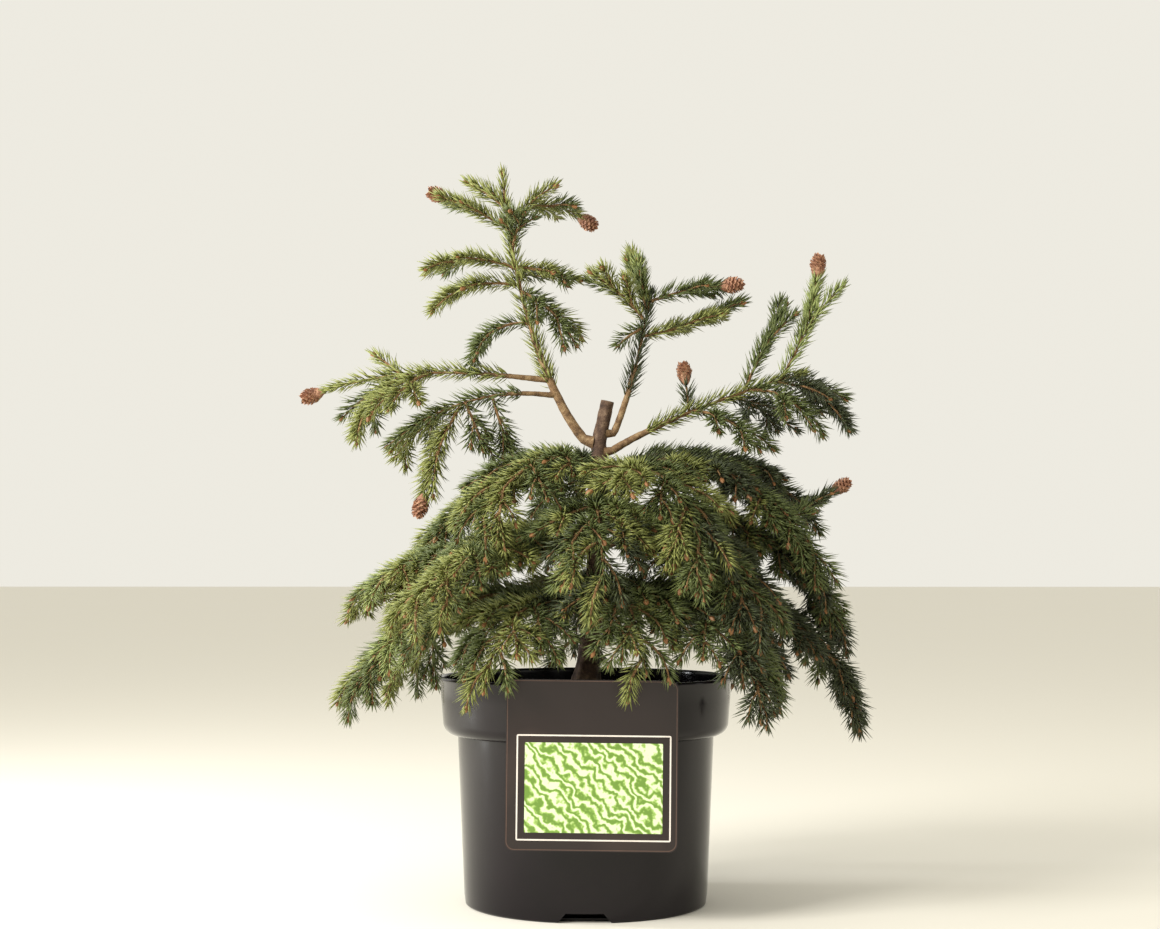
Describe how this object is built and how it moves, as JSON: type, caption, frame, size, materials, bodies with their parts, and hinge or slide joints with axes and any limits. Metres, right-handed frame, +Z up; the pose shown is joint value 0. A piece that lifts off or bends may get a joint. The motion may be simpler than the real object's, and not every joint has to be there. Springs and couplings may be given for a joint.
{
  "type": "potted dwarf norway spruce",
  "caption": "Young forked dwarf spruce with drooping needle-clad shoots and small cones, growing in a round black nursery pot with a hanging label card.",
  "frame": {"origin": "centre of the pot's flat underside", "axes": "+Z up along the pot's axis, the label card faces -Y"},
  "size_m": [0.3594, 0.2887, 0.4821],
  "materials": {
    "pot": "glossy very dark plum-black moulded plastic",
    "compost": "moist dark potting compost, rough and crumbly",
    "card": "dark brown satin printed plastic card",
    "bark": "rough grey-brown spruce bark",
    "needles": "satin dark green needles"
  },
  "bodies": {
    "root": {"pot": "pot", "soil": "compost", "label_card": "card", "trunk": "bark", "bough_left_leader": "bark", "bough_right_leader": "bark", "bough_left_long": "bark", "bough_left_second": "bark", "bough_right_high": "bark", "bough_right_second": "bark", "bough_top_left": "bark", "bough_top_right": "bark", "bough_top_front_left": "bark", "bough_top_front_right": "bark", "bough_top_back": "bark", "bough_middle_left": "bark", "bough_middle_right": "bark", "bough_middle_front": "bark", "bough_middle_front_left": "bark", "bough_middle_front_right": "bark", "bough_middle_back_right": "bark", "bough_middle_back_left": "bark", "bough_low_left": "bark", "bough_low_right": "bark", "bough_low_front_left": "bark", "bough_low_front": "bark", "bough_low_front_right": "bark", "bough_low_back_right": "bark", "bough_low_back": "bark", "bough_low_back_left": "bark", "foliage_left_leader": "needles", "foliage_right_leader": "needles", "foliage_left_long": "needles", "foliage_left_second": "needles", "foliage_right_high": "needles", "foliage_right_second": "needles", "foliage_top_left": "needles", "foliage_top_right": "needles", "foliage_top_front_left": "needles", "foliage_top_front_right": "needles", "foliage_top_back": "needles", "foliage_middle_left": "needles", "foliage_middle_right": "needles", "foliage_middle_front": "needles", "foliage_middle_front_left": "needles", "foliage_middle_front_right": "needles", "foliage_middle_back_right": "needles", "foliage_middle_back_left": "needles", "foliage_low_left": "needles", "foliage_low_right": "needles", "foliage_low_front_left": "needles", "foliage_low_front": "needles", "foliage_low_front_right": "needles", "foliage_low_back_right": "needles", "foliage_low_back": "needles", "foliage_low_back_left": "needles"}
  },
  "joints": []
}
